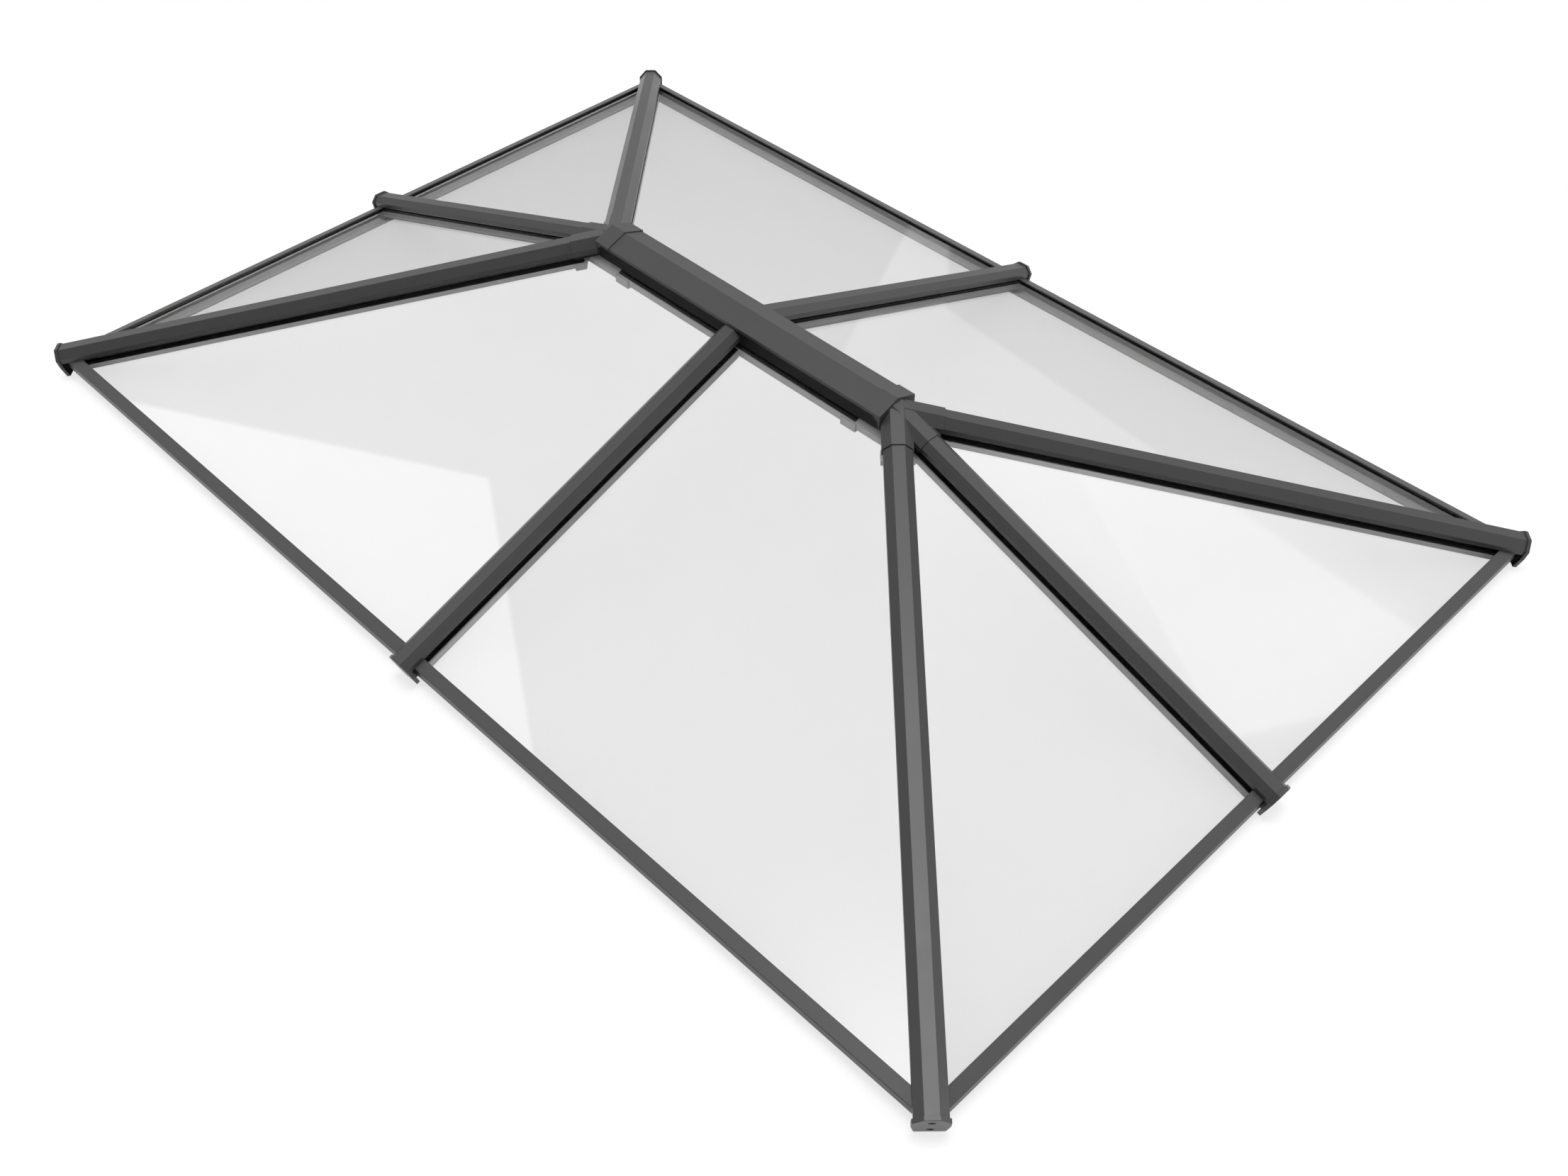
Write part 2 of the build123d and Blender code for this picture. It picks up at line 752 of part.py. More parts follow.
def hub_arms(grow, reach):
    """The three arms as solids, each a grown half octagon from a reach down its rafter to the hub."""
    past = hub_reach
    with BuildPart() as arms:
        with BuildSketch(section_plane(hip_foot, hub_point, hip_length - reach)):
            outline(hip_cap_points(grow, lambda x: -deep))
        extrude(amount=reach + past)
        split(bisect_by=Plane.XZ, keep=Keep.TOP)  # the hips' arms meet in the middle plane
        with BuildSketch(section_plane(end_foot, hub_point, end_length - reach)):
            outline(rafter_cap_points(grow, lambda x: -deep))
        extrude(amount=reach + past)
        mirror(about=Plane.XZ)
        split(bisect_by=Plane(origin=(hub_x, 0, 0), z_dir=(1, 0, 0)), keep=Keep.TOP)
    return arms.part


def under_roof(shape, lift):
    """What lies below the retainers' planes, raised by a lift."""
    with BuildPart() as low:
        add(shape)
        for normal in hub_normals:
            split(bisect_by=Plane(origin=hub_point + normal * lift, z_dir=normal), keep=Keep.BOTTOM)
    return low.part


with BuildPart() as hub_cover_right:
    add(hub_arms(fit_gap + hub_wall, hub_reach))
    add(under_roof(hub_arms(fit_gap + hub_wall + 1, hub_reach + 1), fit_gap), mode=Mode.SUBTRACT)
    add(hub_arms(fit_gap, hub_reach + 1), mode=Mode.SUBTRACT)
save(hub_cover_right.part, "hub_cover_right")
save(mirrored(hub_cover_right.part, True, False), "hub_cover_left")

# Hub seals: black mouldings on the glass, under the rims of the hub cover's sockets.
with BuildPart() as hub_seal_right:
    flush = fit_gap + hub_wall - hub_seal_setback
    add(under_roof(hub_arms(flush, hub_reach - hub_seal_setback), fit_gap - seat_gap))
    add(under_roof(hub_arms(flush + 1, hub_reach + 1), -glass_level), mode=Mode.SUBTRACT)
    add(hub_arms(joint_gap - cap_wall - cap_nib, hub_reach + 1), mode=Mode.SUBTRACT)
hub_seal_left = mirrored(hub_seal_right.part, True, False)
save(Compound(hub_seal_right.part.solids() + hub_seal_left.solids()), "hub_seals")

# Ridge-end hood: a collar over the ridge cap's end, closed by a gable wall above the hub cover.
hood_grow = fit_gap + hood_wall
hood_knee = ridge_z + ridge_points(hood_grow, 0)[1][1]
tongue = [(0, 0), (0.54, 0.05), (0.72, 0.23), (0.875, 0.4), (0.9375, 1)]  # shares of length and depth
hood_plane = Plane(origin=(hood_start, 0, ridge_z), x_dir=(0, 1, 0), z_dir=(1, 0, 0))
with BuildPart() as hood_right:
    with BuildSketch(hood_plane):
        outline(ridge_points(hood_grow, hood_side))
    extrude(amount=hood_length)
    with BuildSketch(hood_plane):
        outline(ridge_points(fit_gap, 3 * hood_side))
    extrude(amount=hood_length - hood_wall, mode=Mode.SUBTRACT)
    with BuildSketch(Plane(origin=(hood_start, 0, hood_knee), x_dir=(1, 0, 0), z_dir=(0, -1, 0))):
        edge = [(x * hood_length, -hood_lip - share * (hood_side - hood_lip)) for x, share in tongue]
        outline([(-1, -hood_lip)] + edge + [(edge[-1][0], -2 * hood_side), (-1, -2 * hood_side)])
    extrude(amount=2 * ridge_half, both=True, mode=Mode.SUBTRACT)
    add(hub_arms(2 * fit_gap + hub_wall, hub_reach), mode=Mode.SUBTRACT)
save(hood_right.part, "ridge_hood_right")
save(mirrored(hood_right.part, True, False), "ridge_hood_left")


# End caps: trays that close the cap, the glass edge and the inner rafter's end.
def end_cap(foot, head, reach, half, points_of):
    outer = fit_gap + end_wall
    with BuildPart() as cap:
        with BuildSketch(section_plane(foot, head, -reach)):
            outline(corner_points(half, points_of, outer))
            fillet(vertices(), end_corner)
        extrude(amount=end_depth)
        chamfer(faces().sort_by(Axis(foot, run_of(foot, head)))[0].edges(), end_bevel)
        with BuildSketch(section_plane(foot, head, -reach + end_wall)):
            outline(corner_points(half, points_of, fit_gap))
        extrude(amount=end_depth, mode=Mode.SUBTRACT)
        with BuildSketch(section_plane(foot, head, -reach)):
            with Locations((0, screw_high), (0, -screw_low)):
                Circle(screw_hole / 2)
        extrude(amount=end_wall, mode=Mode.SUBTRACT)
        with BuildSketch(section_plane(foot, head, -reach)):
            with Locations((0, screw_high), (0, -screw_low)):
                Circle(screw_recess / 2)
        extrude(amount=end_wall / 2, mode=Mode.SUBTRACT)
    return cap.part


def end_block(foot, head, start, size, half, points_of):
    inside = -(cap_wall + cap_nib + fit_gap)
    with BuildPart() as block:
        with BuildSketch(section_plane(foot, head, start)):
            outline(corner_points(half, points_of, inside))
        extrude(amount=size)
    return block.part


side_cap = end_cap(side_foot, side_head, rafter_end_reach, rafter_cap_half, rafter_cap_points)
right_cap = end_cap(end_foot, hub_point, rafter_end_reach, rafter_cap_half, rafter_cap_points)
hip_end = end_cap(hip_foot, hub_point, hip_end_reach, hip_cap_half, hip_cap_points)
end_caps = all_round((side_cap, right_cap, hip_end)).solids()
save(Compound(end_caps[:4]), "rafter_end_caps")
save(Compound(end_caps[4:]), "hip_end_caps")
blocks = (
    end_block(side_foot, side_head, rafter_start, rafter_block_length, rafter_cap_half, rafter_cap_points),
    end_block(end_foot, hub_point, rafter_start, rafter_block_length, rafter_cap_half, rafter_cap_points),
    end_block(hip_foot, hub_point, hip_start, hip_block_length, hip_cap_half, hip_cap_points),
)
save(all_round(blocks), "end_blocks")
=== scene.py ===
import math

import bpy
import numpy as np
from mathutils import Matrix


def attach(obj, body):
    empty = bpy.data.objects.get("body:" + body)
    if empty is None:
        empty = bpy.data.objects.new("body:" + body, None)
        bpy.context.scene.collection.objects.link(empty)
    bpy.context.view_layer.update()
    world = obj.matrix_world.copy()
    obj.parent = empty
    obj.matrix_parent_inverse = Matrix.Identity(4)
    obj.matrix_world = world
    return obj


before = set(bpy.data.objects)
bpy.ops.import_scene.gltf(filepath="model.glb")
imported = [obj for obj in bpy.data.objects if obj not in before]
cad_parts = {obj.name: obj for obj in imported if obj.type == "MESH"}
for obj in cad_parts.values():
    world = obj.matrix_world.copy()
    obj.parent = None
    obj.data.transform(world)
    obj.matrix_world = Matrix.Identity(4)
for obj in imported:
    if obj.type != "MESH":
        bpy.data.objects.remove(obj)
bpy.context.scene.view_settings.view_transform = "Standard"
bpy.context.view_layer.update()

# Main lines of the roof lantern, in metres: X along the ridge, Y across it, Z up from the kerb.
HALF_LENGTH = 1.545
HALF_WIDTH = 1.045
FOLD = 0.054  # top outer edge of the glass retainers, where the roof planes start
PITCH = math.radians(20)
HUB_X = 0.474
RIDGE_Z = FOLD + HALF_WIDTH * math.tan(PITCH)


# shader helpers

FLOAT = "NodeSocketFloat"
VECTOR = "NodeSocketVector"
WHITE = (1.0, 1.0, 1.0)
NOISE_LOW, NOISE_HIGH = 0.3, 0.7  # where nearly all of a noise's values lie
PAIR_LOW, PAIR_HIGH = 0.7, 1.3  # and those of two noises added


def new_material(name):
    """A material with a Principled shader, which stays in the material itself."""
    material = bpy.data.materials.new(name)
    material.use_nodes = True
    tree = material.node_tree
    tree.nodes.clear()
    out = tree.nodes.new("ShaderNodeOutputMaterial")
    shader = tree.nodes.new("ShaderNodeBsdfPrincipled")
    tree.links.new(shader.outputs["BSDF"], out.inputs["Surface"])
    return material, tree, shader


def new_group(name, inputs, outputs):
    """An empty shader group. Its inputs are (name, kind, value) and its outputs (name, kind)."""
    group = bpy.data.node_groups.new(name, "ShaderNodeTree")
    for label, kind, value in inputs:
        socket = group.interface.new_socket(label, in_out="INPUT", socket_type=kind)
        if value is not None:
            socket.default_value = value
    for label, kind in outputs:
        group.interface.new_socket(label, in_out="OUTPUT", socket_type=kind)
    return group, group.nodes.new("NodeGroupInput"), group.nodes.new("NodeGroupOutput")


def place_group(tree, group, **values):
    """Puts a shared group in a material, over Object coordinates, and sets its inputs."""
    node = tree.nodes.new("ShaderNodeGroup")
    node.node_tree = group
    for label, value in values.items():
        node.inputs[label].default_value = value
    coords = tree.nodes.new("ShaderNodeTexCoord")
    tree.links.new(coords.outputs["Object"], node.inputs["Position"])
    return node


def feed(tree, value, socket):
    """Sets a socket to a number, or links it to an output."""
    if isinstance(value, (int, float)):
        socket.default_value = value
    else:
        tree.links.new(value, socket)


def noise(tree, vector, scale, detail, roughness):
    """Noise over a position. The scale is a number or another node's output."""
    node = tree.nodes.new("ShaderNodeTexNoise")
    node.inputs["Detail"].default_value = detail
    node.inputs["Roughness"].default_value = roughness
    tree.links.new(vector, node.inputs["Vector"])
    feed(tree, scale, node.inputs["Scale"])
    return node.outputs["Fac"]


def remap(tree, value, low, high, to_low, to_high):
    """A value's range from low to high, stretched to another range and held at its ends."""
    node = tree.nodes.new("ShaderNodeMapRange")
    node.inputs["From Min"].default_value = low
    node.inputs["From Max"].default_value = high
    node.inputs["To Min"].default_value = to_low
    node.inputs["To Max"].default_value = to_high
    tree.links.new(value, node.inputs["Value"])
    return node.outputs["Result"]


def spread(tree, wave, low, high):
    """A noise stretched over the range from low to high."""
    return remap(tree, wave, NOISE_LOW, NOISE_HIGH, low, high)


def maths(tree, operation, first, second=None):
    """One Math node on numbers or other nodes' outputs."""
    node = tree.nodes.new("ShaderNodeMath")
    node.operation = operation
    feed(tree, first, node.inputs[0])
    if second is not None:
        feed(tree, second, node.inputs[1])
    return node.outputs["Value"]


def tint(tree, colour, shade):
    """A colour multiplied by a changing shade."""
    scaled = tree.nodes.new("ShaderNodeVectorMath")
    scaled.operation = "SCALE"
    scaled.inputs[0].default_value = colour
    tree.links.new(shade, scaled.inputs["Scale"])
    return scaled.outputs["Vector"]


def split_axes(tree, vector):
    """A vector's X, Y and Z as outputs of one node."""
    apart = tree.nodes.new("ShaderNodeSeparateXYZ")
    tree.links.new(vector, apart.inputs["Vector"])
    return apart.outputs


# finishes

DARK_GREY = (0.077, 0.077, 0.078)
PALE_GREY = (0.7, 0.7, 0.695)
OUTER_SKIN = 0.019  # depth of the eaves' outer walls, which have the dark finish
EDGE_SAMPLES = 6

# What each noise of a coat adds to its shade, up or down, and what they do to its gloss.
PEEL_SHADE = 0.035
DRIFT_SHADE = 0.02
CLOUD_SHADE = 0.015
GLOSS_CHANGE = 0.03

GLASS_INDEX = 1.5
GLASS_TONE = (0.89, 0.9)
GLASS_ROUGHNESS = (0.0, 0.012)
FILM_THIN, FILM_THICK = 0.35, 0.75  # the film's noise where it is thinnest and thickest


def coat_grain_group():
    """A coat's surface: fine orange peel, and slow changes in tone and gloss.

    Height is the peel. Shade is 1 plus Tone times the sum of three noises: the peel, clouds a few
    centimetres wide and a drift over half a metre. Gloss is clouds and drift together, around 0.
    """
    group, given, result = new_group(
        "coat_grain",
        [("Position", VECTOR, None), ("Grain", FLOAT, 900.0), ("Tone", FLOAT, 1.0)],
        [("Height", FLOAT), ("Shade", FLOAT), ("Gloss", FLOAT)],
    )
    position = given.outputs["Position"]
    peel = noise(group, position, scale=given.outputs["Grain"], detail=3.0, roughness=0.6)
    drift = noise(group, position, scale=2.2, detail=3.0, roughness=0.55)
    cloud = noise(group, position, scale=24.0, detail=4.0, roughness=0.6)
    change = spread(group, peel, -PEEL_SHADE, PEEL_SHADE)
    for wave, reach in ((drift, DRIFT_SHADE), (cloud, CLOUD_SHADE)):
        change = maths(group, "ADD", change, spread(group, wave, -reach, reach))
    shade = maths(group, "ADD", maths(group, "MULTIPLY", change, given.outputs["Tone"]), 1.0)
    pair = maths(group, "ADD", drift, cloud)
    gloss = remap(group, pair, PAIR_LOW, PAIR_HIGH, -GLOSS_CHANGE, GLOSS_CHANGE)
    group.links.new(peel, result.inputs["Height"])
    group.links.new(shade, result.inputs["Shade"])
    group.links.new(gloss, result.inputs["Gloss"])
    return group


def rounded_bump(tree, height, strength, depth, radius):
    """A bump over a normal that the Bevel node softens along every sharp edge."""
    soft = tree.nodes.new("ShaderNodeBevel")
    soft.samples = EDGE_SAMPLES
    soft.inputs["Radius"].default_value = radius
    bump = tree.nodes.new("ShaderNodeBump")
    bump.inputs["Strength"].default_value = strength
    bump.inputs["Distance"].default_value = depth
    tree.links.new(height, bump.inputs["Height"])
    tree.links.new(soft.outputs["Normal"], bump.inputs["Normal"])
    return bump.outputs["Normal"]


def outer_faces(tree):
    """1 on the eaves' outer walls and 0 inside the roof, by the place on the object."""
    coords = tree.nodes.new("ShaderNodeTexCoord")
    place = split_axes(tree, coords.outputs["Object"])
    past = [
        maths(tree, "GREATER_THAN", maths(tree, "ABSOLUTE", place[axis]), half - OUTER_SKIN)
        for axis, half in (("X", HALF_LENGTH), ("Y", HALF_WIDTH))
    ]
    return maths(tree, "MAXIMUM", *past)


def finish_material(name, colour, roughness, grain=900.0, tone=1.0, bump=0.12, depth=0.0006,
                    radius=0.0007, specular=0.5, metallic=0.0, outside=None):
    """A grained finish with softened edges. outside is another colour for the eaves' outer walls."""
    material, tree, shader = new_material(name)
    grained = place_group(tree, coat_grain, Grain=grain, Tone=tone)
    shaded = tint(tree, colour, grained.outputs["Shade"])
    if outside:
        mix = tree.nodes.new("ShaderNodeMix")
        mix.data_type = "VECTOR"
        tree.links.new(outer_faces(tree), mix.inputs["Factor"])
        tree.links.new(shaded, mix.inputs["A"])
        tree.links.new(tint(tree, outside, grained.outputs["Shade"]), mix.inputs["B"])
        shaded = mix.outputs["Result"]
    tree.links.new(shaded, shader.inputs["Base Color"])
    rough = maths(tree, "ADD", grained.outputs["Gloss"], roughness)
    tree.links.new(rough, shader.inputs["Roughness"])
    normal = rounded_bump(tree, grained.outputs["Height"], bump, depth, radius)
    tree.links.new(normal, shader.inputs["Normal"])
    shader.inputs["Specular IOR Level"].default_value = specular
    shader.inputs["Metallic"].default_value = metallic
    return material


def glass_material():
    """Clear float glass with a faint film that changes its gloss and tone."""
    material, tree, shader = new_material("clear_glass")
    coords = tree.nodes.new("ShaderNodeTexCoord")
    film = noise(tree, coords.outputs["Object"], scale=5.0, detail=4.0, roughness=0.6)
    rough = remap(tree, film, FILM_THIN, FILM_THICK, *GLASS_ROUGHNESS)
    tree.links.new(rough, shader.inputs["Roughness"])
    tone = spread(tree, film, *GLASS_TONE)
    tree.links.new(tint(tree, WHITE, tone), shader.inputs["Base Color"])
    shader.inputs["Transmission Weight"].default_value = 1.0
    shader.inputs["IOR"].default_value = GLASS_INDEX
    return material


coat_grain = coat_grain_group()
powder_coat = finish_material("powder_coat", DARK_GREY, 0.37)
pale_coat = finish_material("pale_inner_coat", PALE_GREY, 0.45)
eaves_coat = finish_material("eaves_coat", PALE_GREY, 0.45, outside=DARK_GREY)
mill_aluminium = finish_material(
    "mill_aluminium", (0.55, 0.555, 0.565), 0.36,
    grain=380.0, bump=0.1, depth=0.0004, radius=0.0005, metallic=1.0)
black_rubber = finish_material(
    "black_rubber", (0.012, 0.012, 0.012), 0.62,
    grain=500.0, tone=2.0, bump=0.2, depth=0.0005, radius=0.0004, specular=0.35)
black_plastic = finish_material(
    "black_plastic", (0.016, 0.016, 0.017), 0.5,
    grain=700.0, tone=1.5, bump=0.15, depth=0.0004, radius=0.0005, specular=0.45)
screw_coat = finish_material(
    "screw_coat", (0.06, 0.06, 0.061), 0.38,
    grain=1500.0, bump=0.08, depth=0.0002, radius=0.0002)
clear_glass = glass_material()

# A CAD piece has the finish of the first start that its name matches, or else the powder coat.
FINISH_OF = {
    "glass": clear_glass,
    "glazing_seals": black_rubber,
    "ridge_seals": black_rubber,
    "hub_seals": black_rubber,
    "rafter_bed_tapes": black_rubber,
    "edge_tapes": black_rubber,
    "end_blocks": black_plastic,
    "pressure_bars": mill_aluminium,
    "rafter_back": pale_coat,
    "rafter_front": pale_coat,
    "rafter_left": pale_coat,
    "rafter_right": pale_coat,
    "hip_rafter": pale_coat,
    "ridge_beam": pale_coat,
    "hub_block": pale_coat,
    "eaves_beam": eaves_coat,
}


def finish_of(node):
    """The finish of one CAD piece."""
    for start, material in FINISH_OF.items():
        if node.startswith(start):
            return material
    return powder_coat


for node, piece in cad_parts.items():
    piece.data.materials.clear()
    piece.data.materials.append(finish_of(node))


# screws of the end caps, in metres along the screw's own axis, with its head's underside at 0

SHANK_RADIUS = 0.0024
SHANK_LENGTH = 0.0085
TIP_RADIUS = 0.0002
TIP_LENGTH = 0.0008
NECK_LENGTH = 0.0002
THREAD_PITCH = 0.0016
THREAD_DEPTH = 0.0004
THREAD_RINGS = 40
HEAD_RADIUS = 0.0056
HEAD_RIM = 0.0004
HEAD_DOME = 0.0008
HEAD_ROUND = 0.00008  # the rim's rounded corners
HEAD_SEAT = 0.97  # radius of the head's underside, as a share of the head's
DOME_START = 0.98
DOME_RINGS = 12
DRIVE_RADIUS = 0.0024
DRIVE_LOBES = 6
DRIVE_LOBE = 0.13  # how far the lobes stand out, as a share of the drive's radius
DRIVE_BORDER = 1.25  # the dome ends here, in drive radii
DRIVE_MOUTH = 1.04
DRIVE_FOOT = 0.98
DRIVE_LIP = 0.0001
DRIVE_DEPTH = 0.0014
DRIVE_CONE = 0.0004

# where the screws sit on the end caps
SCREW_HEIGHTS = (0.009, -0.033)  # above and below the retainers' plane
RECESS_DEPTH = 0.0015
RAFTER_REACH = 0.019  # end cap's face outside the retainer's edge
HIP_REACH = -0.002
TURN_PER_CAP = 0.7  # the drives stand at different turns, in radians
TURN_PER_METRE = 40


def screw_surface(around=48):
    """Rows of rings, from the shank's tip up its thread, over the head and down into the drive.

    Thread: the radius is the shank's plus a triangle wave of the turn plus the height over the pitch.
    Head: a flat underside, a short rim, then a dome that falls off with the square of the radius.
    Drive: the radius turns from a circle to a six-lobed star, the star's ring drops straight down,
    and a shallow cone closes it in the middle.
    """
    turn = np.linspace(0, 2 * np.pi, around, endpoint=False)
    circle = np.ones(around)
    star = 1 + DRIVE_LOBE * np.cos(DRIVE_LOBES * turn)
    rings = []  # each ring's radius all round, and its height

    rings.append((TIP_RADIUS * circle, -SHANK_LENGTH))
    for height in np.linspace(TIP_LENGTH - SHANK_LENGTH, -NECK_LENGTH, THREAD_RINGS):
        phase = (turn / (2 * np.pi) + height / THREAD_PITCH) % 1
        rings.append((SHANK_RADIUS + THREAD_DEPTH * (1 - np.abs(2 * phase - 1)), height))

    rings.append((HEAD_RADIUS * HEAD_SEAT * circle, 0.0))
    rings.append((HEAD_RADIUS * circle, HEAD_ROUND))
    rings.append((HEAD_RADIUS * circle, HEAD_RIM - HEAD_ROUND))
    dome_end = DRIVE_BORDER * DRIVE_RADIUS
    for radius in np.linspace(HEAD_RADIUS * DOME_START, dome_end, DOME_RINGS):
        crown = HEAD_RIM + HEAD_DOME * (1 - (radius / HEAD_RADIUS) ** 2)
        rings.append((radius * circle, crown))

    rings.append((DRIVE_RADIUS * DRIVE_MOUTH * star, crown))
    rings.append((DRIVE_RADIUS * star, crown - DRIVE_LIP))
    rings.append((DRIVE_RADIUS * DRIVE_FOOT * star, crown - DRIVE_DEPTH))
    rings.append((TIP_RADIUS * circle, crown - DRIVE_DEPTH - DRIVE_CONE))

    radii = np.array([radius for radius, _ in rings])
    heights = np.array([height for _, height in rings])[:, None] * circle
    return np.stack([radii * np.cos(turn), radii * np.sin(turn), heights], axis=-1)


def closed_tube(rows, columns, start):
    """Quads between rings, with the columns joined round, and one flat face at each end."""
    row, column = np.meshgrid(np.arange(rows - 1), np.arange(columns), indexing="ij")
    here = start + row * columns
    after = here + columns
    beside = (column + 1) % columns
    quads = np.stack([here + column, here + beside, after + beside, after + column], axis=-1)
    faces = [tuple(quad) for quad in quads.reshape(-1, 4).tolist()]
    faces.append(tuple(range(start + columns - 1, start - 1, -1)))
    last = start + (rows - 1) * columns
    faces.append(tuple(range(last, last + columns)))
    return faces


def rafter_frame(foot, head):
    """Unit vectors up a rafter, across it and square to its cap."""
    run = np.array(head) - np.array(foot)
    run /= np.linalg.norm(run)
    across = np.cross((0.0, 0.0, 1.0), run)
    across /= np.linalg.norm(across)
    return run, across, np.cross(run, across)


def cap_screws(name, lines, reach):
    """Both screws of each end cap: the head sits on the recess floor and faces out of the rafter."""
    shape = screw_surface()
    rows, columns = shape.shape[:2]
    points, faces = [], []
    for number, (foot, head) in enumerate(lines):
        run, across, up = rafter_frame(foot, head)
        for height in SCREW_HEIGHTS:
            seat = np.array(foot) - run * (reach - RECESS_DEPTH) + up * height
            turn = TURN_PER_CAP * number + TURN_PER_METRE * height
            side = np.cos(turn) * across + np.sin(turn) * up
            other = np.cross(-run, side)
            faces += closed_tube(rows, columns, len(points) * rows * columns)
            points.append(seat + shape @ np.array([side, other, -run]))

    mesh = bpy.data.meshes.new(name)
    mesh.from_pydata(np.reshape(points, (-1, 3)).tolist(), [], faces)
    mesh.materials.append(screw_coat)
    for face in mesh.polygons:
        face.use_smooth = len(face.vertices) == 4
    screws = bpy.data.objects.new(name, mesh)
    bpy.context.collection.objects.link(screws)
    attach(screws, "root")


SIDES = (1, -1)
rafter_lines = [((x * HALF_LENGTH, 0.0, FOLD), (x * HUB_X, 0.0, RIDGE_Z)) for x in SIDES]
rafter_lines += [((0.0, y * HALF_WIDTH, FOLD), (0.0, 0.0, RIDGE_Z)) for y in SIDES]
hip_lines = [
    ((x * HALF_LENGTH, y * HALF_WIDTH, FOLD), (x * HUB_X, 0.0, RIDGE_Z))
    for x in SIDES for y in SIDES
]
cap_screws("rafter_end_screws", rafter_lines, RAFTER_REACH)
cap_screws("hip_end_screws", hip_lines, HIP_REACH)


# camera, at the photograph's place and angle

CAMERA_PLACE = (2.38995, -2.24847, 2.84053)
CAMERA_TURN = (44.8627, -0.0355, 45.2495)  # degrees
SENSOR_WIDTH = 36.0  # millimetres, as the lens
LENS = 39.368

camera_data = bpy.data.cameras.new("camera")
camera_data.sensor_width = SENSOR_WIDTH
camera_data.lens = LENS
camera = bpy.data.objects.new("camera", camera_data)
camera.location = CAMERA_PLACE
camera.rotation_euler = [math.radians(turn) for turn in CAMERA_TURN]
bpy.context.collection.objects.link(camera)
bpy.context.scene.camera = camera


# floor

FLOOR_HALF = 2.6
FLOOR_DROP = 0.001  # the floor stays this far under the kerb seat
FLOOR_TONE = 0.35
FLOOR_LIFT = 0.74  # light added to the floor where it is the background


def add_floor():
    """A plain floor, lifted to white for camera, glossy and transmission rays. It keeps its shadows."""
    half, level = FLOOR_HALF, -FLOOR_DROP
    mesh = bpy.data.meshes.new("floor")
    corners = [(x * half, y * half, level) for x, y in ((-1, -1), (1, -1), (1, 1), (-1, 1))]
    mesh.from_pydata(corners, [], [(0, 1, 2, 3)])
    floor = bpy.data.objects.new("floor", mesh)
    bpy.context.collection.objects.link(floor)
    material, tree, shader = new_material("pale_floor")
    shader.inputs["Base Color"].default_value = (FLOOR_TONE, FLOOR_TONE, FLOOR_TONE, 1.0)
    shader.inputs["Roughness"].default_value = 1.0
    shader.inputs["Specular IOR Level"].default_value = 0.0
    shader.inputs["Emission Color"].default_value = (*WHITE, 1.0)
    path = tree.nodes.new("ShaderNodeLightPath")
    seen = maths(tree, "MAXIMUM", path.outputs["Is Camera Ray"], path.outputs["Is Glossy Ray"])
    seen = maths(tree, "MAXIMUM", seen, path.outputs["Is Transmission Ray"])
    tree.links.new(maths(tree, "MULTIPLY", seen, FLOOR_LIFT), shader.inputs["Emission Strength"])
    mesh.materials.append(material)


add_floor()


# studio light, all of it in the world

BACKDROP = 1.0
# The dome has no light between these heights above and below the horizon, as the sine of the height.
HORIZON_BAND = (0.09, 0.19)
# Soft lights of the dome: azimuth and height in degrees, level, and how tightly the light is gathered.
DOME_LIGHTS = [
    (0, 90, 11.2, 40.0),
    (228, 68, 5.0, 200.0),
    (92, 56, 1.6, 60.0),
    (200, 52, 0.2, 12.0),
    (270, 40, 0.15, 12.0),
    (0, 8, 0.62, 6.0),
    (45, 8, 1.7, 6.0),
    (90, 8, 0.26, 6.0),
    (135, 8, 1.04, 6.0),
    (180, 8, 0.86, 6.0),
    (225, 8, 0.32, 6.0),
]
# Flat panels, which the panes reflect with straight edges: level, softness of the rim, and the corners
# as azimuth and height in degrees, anticlockwise seen from outside the dome.
PANELS = [
    (2.5, 0.0015, [(193.6, 36.0), (205.6, 54.2), (190.0, 49.2)]),
    (1.9, 0.003, [(66.7, 43.8), (68.7, 41.1), (89.2, 49.8), (66.7, 48.2)]),
    (1.3, 0.02, [(66.7, 47.8), (66.7, 43.8), (68.7, 41.1), (118.7, 53.8)]),
    (0.4, 0.0015, [(95.0, 4.7), (122.8, 2.0), (122.9, 8.8), (95.0, 8.7)]),
    (0.4, 0.0015, [(122.8, -2.8), (122.9, 8.8), (117.5, 8.9)]),
]


def towards(azimuth, height):
    """Unit vector from an azimuth and a height above the horizon, in degrees."""
    turn, lift = math.radians(azimuth), math.radians(height)
    return (math.cos(turn) * math.cos(lift), math.sin(turn) * math.cos(lift), math.sin(lift))


def facing(tree, direction, axis):
    """The cosine between a direction and a fixed axis."""
    dot = tree.nodes.new("ShaderNodeVectorMath")
    dot.operation = "DOT_PRODUCT"
    tree.links.new(direction, dot.inputs[0])
    dot.inputs[1].default_value = axis
    return dot.outputs["Value"]


def dome_light(tree, direction, azimuth, height, level, focus):
    """One soft light: the cosine to its middle, raised to a power, times its level."""
    ahead = maths(tree, "MAXIMUM", facing(tree, direction, towards(azimuth, height)), 0.0)
    return maths(tree, "MULTIPLY", maths(tree, "POWER", ahead, focus), level)


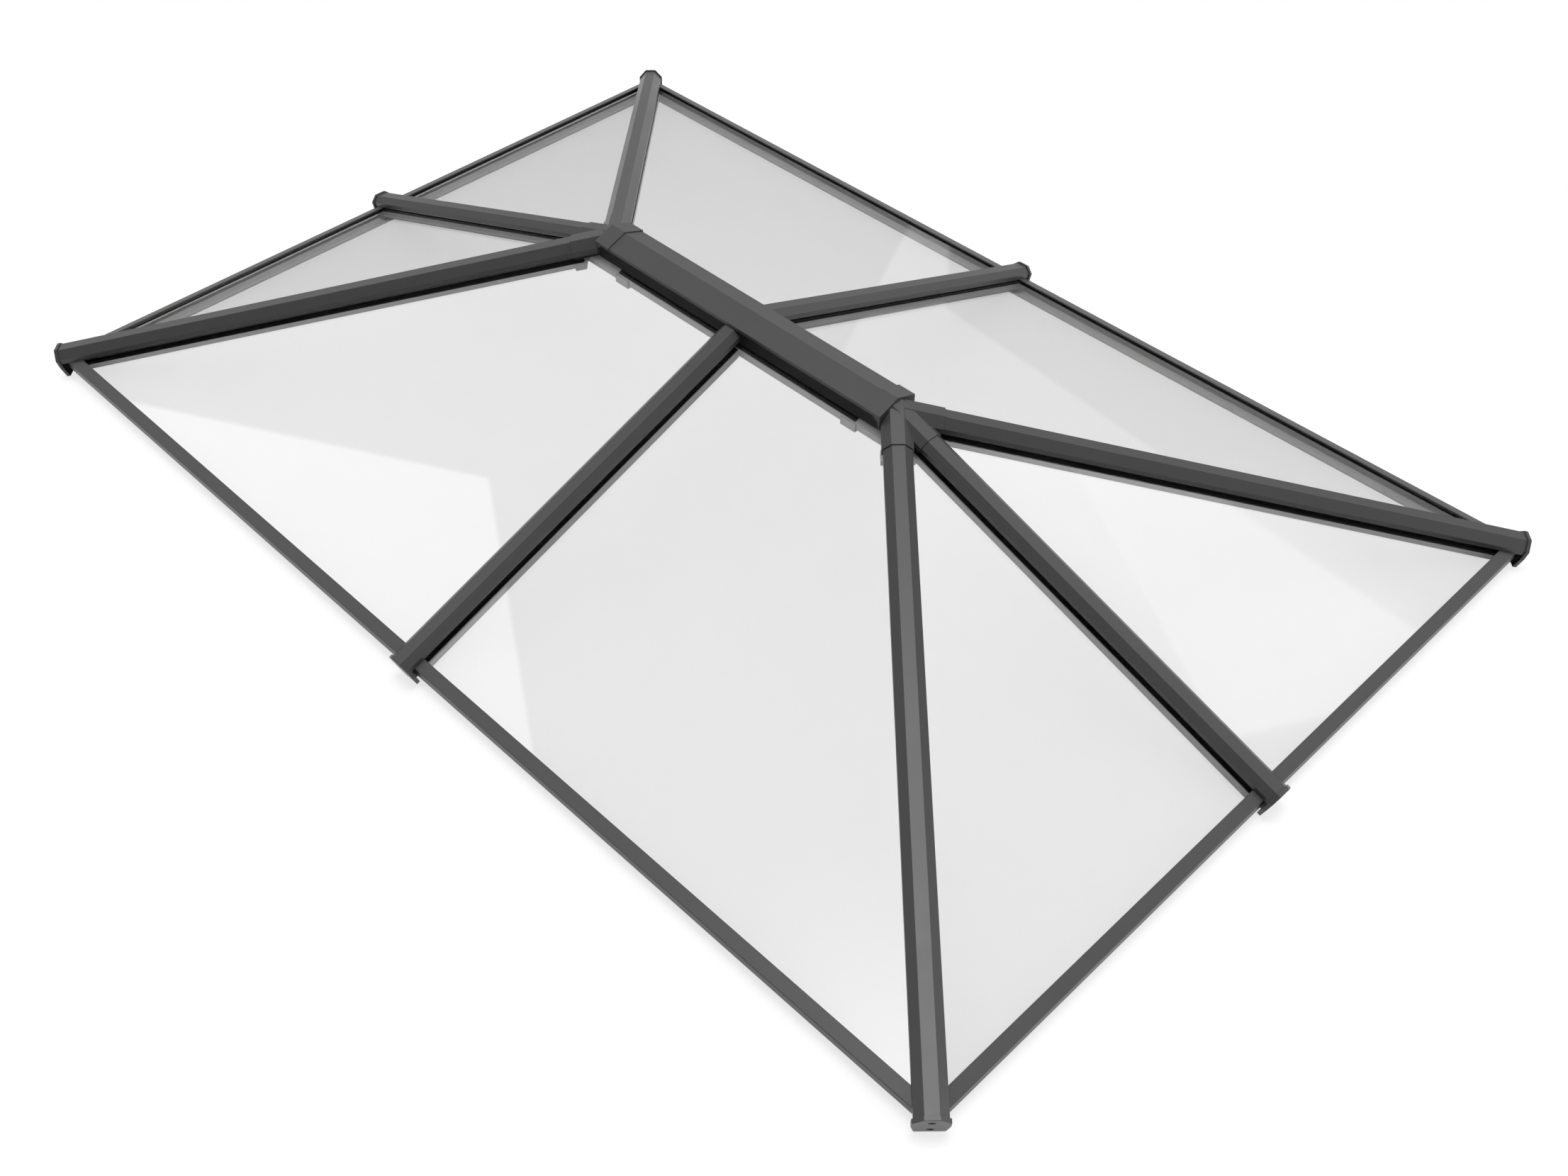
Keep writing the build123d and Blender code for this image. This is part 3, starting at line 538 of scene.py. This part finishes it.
def panel_light(tree, direction, level, rim, corners):
    """One flat panel: full inside the planes through its sides and the object, gone past its rim."""
    light = level
    places = [towards(*corner) for corner in corners]
    for first, second in zip(places, places[1:] + places[:1]):
        plane = np.cross(first, second)
        inward = facing(tree, direction, plane / np.linalg.norm(plane))
        light = maths(tree, "MULTIPLY", remap(tree, inward, -rim, rim, 0.0, 1.0), light)
    return light


def set_world():
    """Dome lights and panels light the object, and the background is white.

    Camera and transmission rays see the backdrop. Glossy rays see it below the horizon, as a floor
    without an end, and the lights above it.
    """
    world = bpy.data.worlds.new("studio")
    bpy.context.scene.world = world
    world.use_nodes = True
    tree = world.node_tree
    tree.nodes.clear()
    direction = tree.nodes.new("ShaderNodeTexCoord").outputs["Generated"]
    path = tree.nodes.new("ShaderNodeLightPath")
    lift = split_axes(tree, direction)["Z"]

    light = 0.0
    for lamp in DOME_LIGHTS:
        light = maths(tree, "ADD", light, dome_light(tree, direction, *lamp))
    open_sky = remap(tree, maths(tree, "ABSOLUTE", lift), *HORIZON_BAND, 0.0, 1.0)
    light = maths(tree, "MULTIPLY", light, open_sky)
    panels = 0.0
    for panel in PANELS:
        panels = maths(tree, "MAXIMUM", panels, panel_light(tree, direction, *panel))
    light = maths(tree, "ADD", light, panels)

    low, high = HORIZON_BAND
    below = remap(tree, lift, -high, -low, BACKDROP, 0.0)
    mirrored = maths(tree, "MULTIPLY", below, path.outputs["Is Glossy Ray"])
    light = maths(tree, "MAXIMUM", light, mirrored)
    rays = path.outputs["Is Camera Ray"], path.outputs["Is Transmission Ray"]
    shown = maths(tree, "MAXIMUM", *rays)
    level = tree.nodes.new("ShaderNodeMix")
    level.data_type = "FLOAT"
    tree.links.new(shown, level.inputs["Factor"])
    tree.links.new(light, level.inputs["A"])
    level.inputs["B"].default_value = BACKDROP
    back = tree.nodes.new("ShaderNodeBackground")
    back.inputs["Color"].default_value = (*WHITE, 1.0)
    tree.links.new(level.outputs["Result"], back.inputs["Strength"])
    out = tree.nodes.new("ShaderNodeOutputWorld")
    tree.links.new(back.outputs["Background"], out.inputs["Surface"])


set_world()
